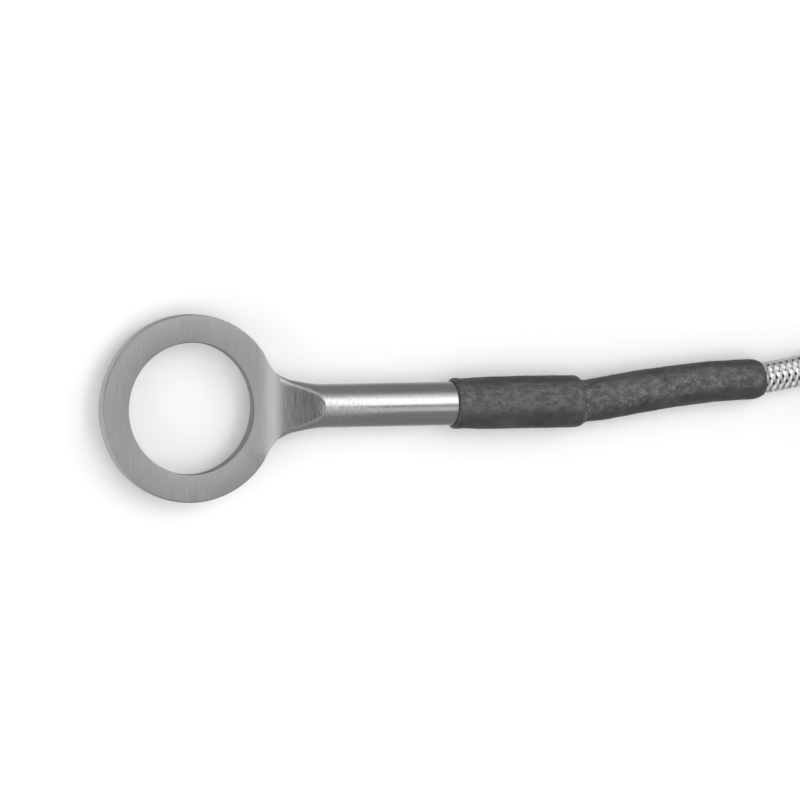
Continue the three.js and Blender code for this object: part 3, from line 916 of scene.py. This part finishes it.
def make_sleeve():
    line = catmull([(SLEEVE_START - 2, 0, AXIS_Z)] + ENTRY_ROUTE + RUN_ROUTE[1:3], per_span=40)
    stations = sleeve_stations()
    radii = smooth_table(SLEEVE_OUTSIDE, stations)
    centres = points_at(stations, line[:, 0], line)
    _, side, up = line_frames(centres)
    angles = angles_round(SLEEVE_SIDES)
    cos, sin = np.cos(angles)[:, None], np.sin(angles)[:, None]
    rows = []
    for station, radius, centre, across, above in zip(stations, radii, centres, side, up):
        fade = smooth_step(29.8, 31, station) * smooth_step(66.5, 65, station)
        lumps = np.array([sleeve_lumps(station, a, radius) for a in angles])
        bulge = radius + (0.25 + 0.75 * fade) * lumps
        row = centre + bulge[:, None] * (cos * across + sin * above)
        # The underside lies on the surface, so it isn't let any lower.
        row[:, 2] = np.maximum(row[:, 2], 0.0)
        rows.append(row)
    for station, radius in SLEEVE_INSIDE:
        i = int(np.argmin(abs(stations - station)))
        centre = points_at(station, line[:, 0], line)
        rows.append(centre + radius * (cos * side[i] + sin * up[i]))
    sleeve = loft("shrink_tubing", rows, SLEEVE, closed=True, sharp=50)
    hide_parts("shrink_sleeve")


make_sleeve()

# ---- tie

TIE_HALF = 2 * CABLE + 0.3  # half the space inside the band, sideways
TIE_LOW, TIE_HIGH = TIE_THICKNESS, 3 * CABLE + TIE_THICKNESS + 0.3
# The head's outlines, round its outside and back down through its slot: half sizes, corner, height.
TIE_HEAD = [
    (2.3, 2.1, 0.5, -2.35), (2.3, 2.1, 0.5, 2.35), (2.05, 1.85, 0.4, 2.6), (1.95, 0.85, 0.15, 2.6),
    (1.85, 0.75, 0.12, 2.4), (1.85, 0.75, 0.12, -2.4), (1.95, 0.85, 0.15, -2.6),
    (2.05, 1.85, 0.4, -2.6),
]


def rounded_loop(half, low, high, corner, per_corner=10):
    """Points and outward ways round a rectangle with round corners, in Y and Z."""
    places, ways = [], []
    corners = ((half, low, -90), (half, high, 0), (-half, high, 90), (-half, low, 180))
    for y, z, start in corners:
        middle = np.array([y - math.copysign(corner, y), z + (corner if z == low else -corner)])
        for angle in np.radians(np.linspace(start, start + 90, per_corner)):
            way = np.array([math.cos(angle), math.sin(angle)])
            places.append(middle + corner * way)
            ways.append(way)
    return np.array(places), np.array(ways)


def evenly_round(places, ways, count):
    closed = np.vstack([places, places[:1]])
    turned = np.vstack([ways, ways[:1]])
    run = run_along(closed)
    spots = np.linspace(0, run[-1], count, endpoint=False)
    return points_at(spots, run, closed), points_at(spots, run, turned)


def make_band():
    """The strap: smooth outside, with a groove of fine teeth down its middle inside."""
    places, ways = evenly_round(*rounded_loop(TIE_HALF, TIE_LOW, TIE_HIGH, 1.3), 300)
    half = TIE_WIDTH / 2
    rows = []
    for i, (place, way) in enumerate(zip(places, ways)):
        tooth = 0.14 if i % 2 else 0.02
        section = [(-half + 0.12, 0.0), (-1.1, 0.0), (-1.0, tooth), (1.0, tooth), (1.1, 0.0),
                   (half - 0.12, 0.0), (half, 0.15), (half, TIE_THICKNESS - 0.15),
                   (half - 0.15, TIE_THICKNESS), (0.15 - half, TIE_THICKNESS),
                   (-half, TIE_THICKNESS - 0.15), (-half, 0.15)]
        rows.append([(WAIST + x, HANK_Y + place[0] + way[0] * out, place[1] + way[1] * out)
                     for x, out in section])
    return loft("tie_band", rows, NYLON, closed=True, sharp=40)


def box_outline(half_x, half_y, corner):
    points, _ = rounded_loop(half_x, -half_y, half_y, corner, per_corner=6)
    return points


def make_tie_head():
    """A square head with the strap's slot through it, and the trimmed end standing out of it."""
    middle = np.array([WAIST, HANK_Y + TIE_HALF + 2.3, (TIE_LOW + TIE_HIGH) / 2])
    rows = [[middle + (x, y, z) for x, y in box_outline(half_x, half_y, corner)]
            for half_x, half_y, corner, z in TIE_HEAD]
    head = loft("tie_head", rows, NYLON, closed=True, sharp=40)
    rows = [[middle + (x, y + (0.06 if i % 2 else 0), z) for x, y in box_outline(1.7, 0.36, 0.1)]
            for i, z in enumerate(np.arange(-2.2, 3.4, 0.35))]
    end = loft("tie_end", rows, NYLON, sharp=40)
    return head, end


def make_tie():
    band = make_band()
    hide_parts("hank_tie")
    pieces = [band, *make_tie_head()]
    return pieces


tie_pieces = make_tie()

# ---- tail sleeve, leads' sleeves, forks


def tail_reach(x, angles):
    """How far the tail sleeve reaches out at a station, round its axis."""
    wide = 2.15 - 0.18 * smooth_step(TAIL_START + 5.0, TAIL_END - 1.8, x)
    rounding = (0.18 * smooth_step(TAIL_END - 0.35, TAIL_END, x)
                + 0.1 * smooth_step(TAIL_START + 0.3, TAIL_START, x))
    pinch = 0.34 * smooth_step(TAIL_END - 3.6, TAIL_END - 1.2, x)
    lumps = [0.03 * noise.noise(Vector((x * 0.8, math.cos(a), math.sin(a)))) for a in angles]
    return wide - rounding - pinch * np.abs(np.sin(angles)) ** 3 + np.array(lumps)


def make_tail_sleeve():
    """Shrunk over the end of the braid, and drawn in between the two leads where they come out."""
    angles = angles_round(64)
    stations = np.concatenate([np.linspace(TAIL_START, TAIL_START + 0.3, 4),
                               np.linspace(TAIL_START + 0.5, TAIL_END - 0.3, 40),
                               np.linspace(TAIL_END - 0.2, TAIL_END, 4)])
    inside = [(TAIL_END - 0.5, 1.2), (TAIL_END - 1.4, 1.6), (TAIL_END - 1.6, 1.76), (TAIL_START + 0.1, 1.76)]
    rows = [np.column_stack([np.full(len(angles), x), HANK_Y + reach * np.cos(angles),
                             TOP_HEIGHT + reach * np.sin(angles)])
            for x, reach in [(x, tail_reach(x, angles)) for x in stations] + inside]
    sleeve = loft("tail_tubing", rows, SLEEVE, closed=True, sharp=50)
    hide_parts("tail_sleeve")
    return sleeve


def terminal_place(side):
    """Puts points given along a terminal's barrel where they belong over the hank."""
    turn = side * TERMINAL_TURN
    c, s = math.cos(turn), math.sin(turn)
    origin = np.array([TERMINAL_AT[0], HANK_Y + side * TERMINAL_AT[1], TOP_HEIGHT])
    return lambda p: np.asarray(p) @ np.array([[c, s, 0], [-s, c, 0], [0, 0, 1]]) + origin


def make_terminal_sleeve(sign, side, material):
    start, end = -3.9, 2.5
    outside = [(start, 1.72), (start + 0.08, 1.86), (start + 0.3, 1.93), (start + 1.5, 1.93),
               (start + 2.6, 1.95), (end - 1.2, 1.95), (end - 0.5, 1.93), (end - 0.1, 1.84), (end, 1.7)]
    inside = [(end, 1.4), (end - 0.4, 1.3), (-0.4, 1.3), (start + 1.3, 1.3), (start + 0.2, 1.5),
              (start, 1.56)]
    rows = turned_rows(outside + inside, 48)
    piece = loft(f"crimp_sleeve_{sign}", terminal_place(side)(rows), material, closed=True, sharp=60)
    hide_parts(f"terminal_sleeve_{sign}")
    return piece


def arc_points(x, y, radius, start, end, count):
    angle = np.radians(np.linspace(start, end, count))
    return np.stack([x + radius * np.cos(angle), y + radius * np.sin(angle)], axis=1)


def fork_outline():
    """The tongue seen from above: shoulders, two prongs, and the slot between them."""
    lower = [(2.8, -1.1), (4.4, -1.1), (5.3, -1.9), *arc_points(6.8, -2.3, 0.8, 200, 270, 7),
             (11.5, -3.1), *arc_points(11.8, -2.6, 0.5, 275, 360, 6), (12.3, -2.2), (11.9, -1.85),
             *arc_points(9.05, 0, 1.85, 270, 180, 12)]
    lower = np.array(lower)
    return np.vstack([lower, lower[-2::-1] * (1, -1)])


def make_fork(sign, side):
    outline = fork_outline()
    way = np.roll(outline, -1, axis=0) - np.roll(outline, 1, axis=0)
    inward = unit(np.stack([-way[:, 1], way[:, 0]], axis=1))
    rows = []
    for inset, z in ((0.12, -1.7), (0.03, -1.66), (0, -1.56), (0, -1.04), (0.03, -0.94), (0.12, -0.9)):
        flat = outline + inward * inset
        rows.append(np.column_stack([flat, np.full(len(flat), z)]))
    place = terminal_place(side)
    tongue = loft(f"fork_tongue_{sign}", place(np.array(rows)), TIN, sharp=50)
    barrel_profile = [(0.3, 0.82), (0.06, 1.05), (0.12, 1.2), (1.2, 1.2), (1.6, 1.1), (2.4, 1.1),
                      (2.8, 1.2), (4.1, 1.2), (4.35, 1.12), (4.4, 0.95), (4.2, 0.75), (0.5, 0.75)]
    barrel = loft(f"fork_barrel_{sign}", place(turned_rows(barrel_profile, 40)), TIN, closed=True, sharp=50)
    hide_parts(f"fork_terminal_{sign}")
    return [tongue, barrel]


tail_sleeve = make_tail_sleeve()
ends = {sign: [make_terminal_sleeve(sign, side, material), *make_fork(sign, side)]
        for sign, side, material in POLES}

# ---- inside the tube


def make_couple():
    """The two bare wires and the bead that joins them at the ring's neck."""
    bead_profile = [(13.4, 0.02), (13.44, 0.2), (13.6, 0.42), (13.85, 0.54), (14.1, 0.54), (14.35, 0.42),
                    (14.5, 0.3), (14.56, 0.02)]
    bead = loft("junction_bead", turned_rows(bead_profile, 40, (0, AXIS_Z)), ALLOY, sharp=60)
    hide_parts("measuring_junction")
    for sign, side, _ in POLES:
        line, _ = evenly([(14.8, side * 0.45, AXIS_Z), (37.7, side * 0.45, AXIS_Z)], 0.4)
        line[:, 2] += 0.03 * np.sin(line[:, 0] * 0.9)
        wire = loft(f"couple_wire_{sign}", tube_rows(line, 0.2, 16), ALLOY, sharp=60)
        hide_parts(f"thermoelement_{sign}")


def make_potting():
    """The cement plug, with a hollowed face where it shrank as it set."""
    profile = [(34.3, 0.02), (34.34, 0.9), (34.3, 1.5), (34.36, 1.74), (34.5, 1.78), (37.2, 1.78),
               (37.36, 1.7), (37.3, 1.2), (37.22, 0.6), (37.2, 0.02)]
    plug = loft("cement_plug", turned_rows(profile, 56, (0, AXIS_Z)), CEMENT, sharp=60)
    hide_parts("potting_plug")


make_couple()
make_potting()
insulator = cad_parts["ceramic_insulator"]
insulator.data.materials.clear()
insulator.data.materials.append(CERAMIC)

# ---- stage and light


def make_floor():
    bpy.ops.mesh.primitive_plane_add(size=60, location=(0, 0, -0.00002))
    floor = bpy.context.object
    floor.name = "floor"
    n = Nodes("floor_paper", Roughness=0.9, Specular_IOR_Level=0.0)
    floor.data.materials.append(n.done(grey(0.93)))
    floor.visible_glossy = False


def softbox(name, turn, tilt, width, height, strength, distance=1.2, shows=True):
    """A flat light, turned about the probe's axis from overhead and tilted along it, in degrees."""
    data = bpy.data.lights.new(name, "AREA")
    data.shape = "RECTANGLE"
    data.size, data.size_y = width, height
    data.energy = strength * width * height * math.pi
    lamp = add_object(name, data)
    a, t = math.radians(turn), math.radians(tilt)
    way = Vector((math.sin(t), math.cos(t) * math.sin(a), math.cos(t) * math.cos(a)))
    lamp.location = way * distance
    lamp.rotation_euler = way.to_track_quat("Z", "X").to_euler()
    lamp.visible_camera = False
    lamp.visible_glossy = shows
    return lamp


def make_world():
    """Room light: dimmer overhead and across the probe, brighter from its ends and off the table."""
    world = bpy.data.worlds.new("studio")
    world.use_nodes = True
    n = Tree(world.node_tree, "Generated")
    x, z = n.axis("X"), n.axis("Z")
    ends = n.math("ADD", n.span(x, 0.05, -0.2, 0, 1), n.span(x, 0.55, 0.75, 0, 1))
    level = n.times(ends, n.span(z, 0.85, 0.6, 0, 0.3))
    light = n.math("ADD", level, n.span(z, -0.55, -0.95, 0.27, 0.62))
    n.feed(world.node_tree.nodes["Background"].inputs["Color"], light)
    bpy.context.scene.world = world


def make_light():
    softbox("key_core", 24, 25, 0.85, 0.42, 1.15)
    softbox("key_middle", 28, 25, 0.85, 0.85, 0.55)
    softbox("key_wide", 40, 25, 0.85, 1.35, 0.30)
    softbox("strip", -30, 25, 0.85, 0.22, 0.75)
    softbox("neck", -4, 9, 0.16, 0.9, 2.0)
    softbox("side", -35, -60, 0.8, 0.9, 2.0)
    softbox("end", 10, 64, 0.9, 0.9, 0.9)
    softbox("far", 64, -28, 0.7, 0.7, 0.9)
    softbox("near", -64, -28, 0.7, 0.7, 0.9)
    softbox("fill", 0, -5, 2.4, 2.4, 1.15, distance=2.2, shows=False)
    bpy.context.scene.view_settings.view_transform = "Standard"


make_floor()
make_world()
make_light()
